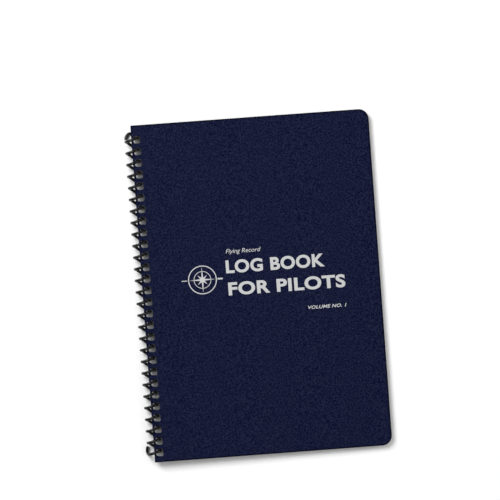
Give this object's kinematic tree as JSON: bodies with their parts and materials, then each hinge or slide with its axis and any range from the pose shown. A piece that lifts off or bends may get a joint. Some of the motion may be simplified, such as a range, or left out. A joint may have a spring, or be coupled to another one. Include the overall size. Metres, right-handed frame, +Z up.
{
  "type": "pilot logbook",
  "caption": "Portrait coil-bound logbook with flexible dark blue covers, rounded fore-edge corners and ruled leaves that turn on a black plastic spine coil.",
  "frame": {"origin": "under the middle of the closed book's bounding box, at table height", "axes": "+Z up out of the front cover, +Y along the spine towards the head of the book, +X from the spine towards the fore edge; the closed book leans about 1.1 degrees down towards +X because it rests on its coil and on its fore edge"},
  "size_m": [0.158, 0.216, 0.01],
  "materials": {
    "cover_board": "fine grained matte navy cover stock",
    "coil_plastic": "glossy black extruded plastic coil",
    "ledger_paper": "smooth white ledger paper with printed rules"
  },
  "bodies": {
    "back_cover": {"back_cover": "cover_board", "coil": "coil_plastic"},
    "leaf_18": {"leaf_18": "ledger_paper"},
    "leaf_17": {"leaf_17": "ledger_paper"},
    "leaf_16": {"leaf_16": "ledger_paper"},
    "leaf_15": {"leaf_15": "ledger_paper"},
    "leaf_14": {"leaf_14": "ledger_paper"},
    "leaf_13": {"leaf_13": "ledger_paper"},
    "leaf_12": {"leaf_12": "ledger_paper"},
    "leaf_11": {"leaf_11": "ledger_paper"},
    "leaf_10": {"leaf_10": "ledger_paper"},
    "leaf_09": {"leaf_09": "ledger_paper"},
    "leaf_08": {"leaf_08": "ledger_paper"},
    "leaf_07": {"leaf_07": "ledger_paper"},
    "leaf_06": {"leaf_06": "ledger_paper"},
    "leaf_05": {"leaf_05": "ledger_paper"},
    "leaf_04": {"leaf_04": "ledger_paper"},
    "leaf_03": {"leaf_03": "ledger_paper"},
    "leaf_02": {"leaf_02": "ledger_paper"},
    "leaf_01": {"leaf_01": "ledger_paper"},
    "front_cover": {"front_cover": "cover_board"}
  },
  "joints": [
    {"name": "leaf_18_turn", "type": "hinge", "parent": "back_cover", "child": "leaf_18", "pos_m": [-0.07355, 0, 0.00501], "axis": [0, -1, 0], "range_deg": [0, 180]},
    {"name": "leaf_17_turn", "type": "hinge", "parent": "leaf_18", "child": "leaf_17", "pos_m": [-0.07355, 0, 0.00501], "axis": [0, -1, 0], "range_deg": [0, 180]},
    {"name": "leaf_16_turn", "type": "hinge", "parent": "leaf_17", "child": "leaf_16", "pos_m": [-0.07355, 0, 0.00501], "axis": [0, -1, 0], "range_deg": [0, 180]},
    {"name": "leaf_15_turn", "type": "hinge", "parent": "leaf_16", "child": "leaf_15", "pos_m": [-0.07355, 0, 0.00501], "axis": [0, -1, 0], "range_deg": [0, 180]},
    {"name": "leaf_14_turn", "type": "hinge", "parent": "leaf_15", "child": "leaf_14", "pos_m": [-0.07355, 0, 0.00501], "axis": [0, -1, 0], "range_deg": [0, 180]},
    {"name": "leaf_13_turn", "type": "hinge", "parent": "leaf_14", "child": "leaf_13", "pos_m": [-0.07355, 0, 0.00501], "axis": [0, -1, 0], "range_deg": [0, 180]},
    {"name": "leaf_12_turn", "type": "hinge", "parent": "leaf_13", "child": "leaf_12", "pos_m": [-0.07355, 0, 0.00501], "axis": [0, -1, 0], "range_deg": [0, 180]},
    {"name": "leaf_11_turn", "type": "hinge", "parent": "leaf_12", "child": "leaf_11", "pos_m": [-0.07355, 0, 0.00501], "axis": [0, -1, 0], "range_deg": [0, 180]},
    {"name": "leaf_10_turn", "type": "hinge", "parent": "leaf_11", "child": "leaf_10", "pos_m": [-0.07355, 0, 0.00501], "axis": [0, -1, 0], "range_deg": [0, 180]},
    {"name": "leaf_09_turn", "type": "hinge", "parent": "leaf_10", "child": "leaf_09", "pos_m": [-0.07355, 0, 0.00501], "axis": [0, -1, 0], "range_deg": [0, 180]},
    {"name": "leaf_08_turn", "type": "hinge", "parent": "leaf_09", "child": "leaf_08", "pos_m": [-0.07355, 0, 0.00501], "axis": [0, -1, 0], "range_deg": [0, 180]},
    {"name": "leaf_07_turn", "type": "hinge", "parent": "leaf_08", "child": "leaf_07", "pos_m": [-0.07355, 0, 0.00501], "axis": [0, -1, 0], "range_deg": [0, 180]},
    {"name": "leaf_06_turn", "type": "hinge", "parent": "leaf_07", "child": "leaf_06", "pos_m": [-0.07355, 0, 0.00501], "axis": [0, -1, 0], "range_deg": [0, 180]},
    {"name": "leaf_05_turn", "type": "hinge", "parent": "leaf_06", "child": "leaf_05", "pos_m": [-0.07355, 0, 0.00501], "axis": [0, -1, 0], "range_deg": [0, 180]},
    {"name": "leaf_04_turn", "type": "hinge", "parent": "leaf_05", "child": "leaf_04", "pos_m": [-0.07355, 0, 0.00501], "axis": [0, -1, 0], "range_deg": [0, 180]},
    {"name": "leaf_03_turn", "type": "hinge", "parent": "leaf_04", "child": "leaf_03", "pos_m": [-0.07355, 0, 0.00501], "axis": [0, -1, 0], "range_deg": [0, 180]},
    {"name": "leaf_02_turn", "type": "hinge", "parent": "leaf_03", "child": "leaf_02", "pos_m": [-0.07355, 0, 0.00501], "axis": [0, -1, 0], "range_deg": [0, 180]},
    {"name": "leaf_01_turn", "type": "hinge", "parent": "leaf_02", "child": "leaf_01", "pos_m": [-0.07355, 0, 0.00501], "axis": [0, -1, 0], "range_deg": [0, 180]},
    {"name": "front_cover_turn", "type": "hinge", "parent": "leaf_01", "child": "front_cover", "pos_m": [-0.07355, 0, 0.00501], "axis": [0, -1, 0], "range_deg": [0, 180]}
  ]
}
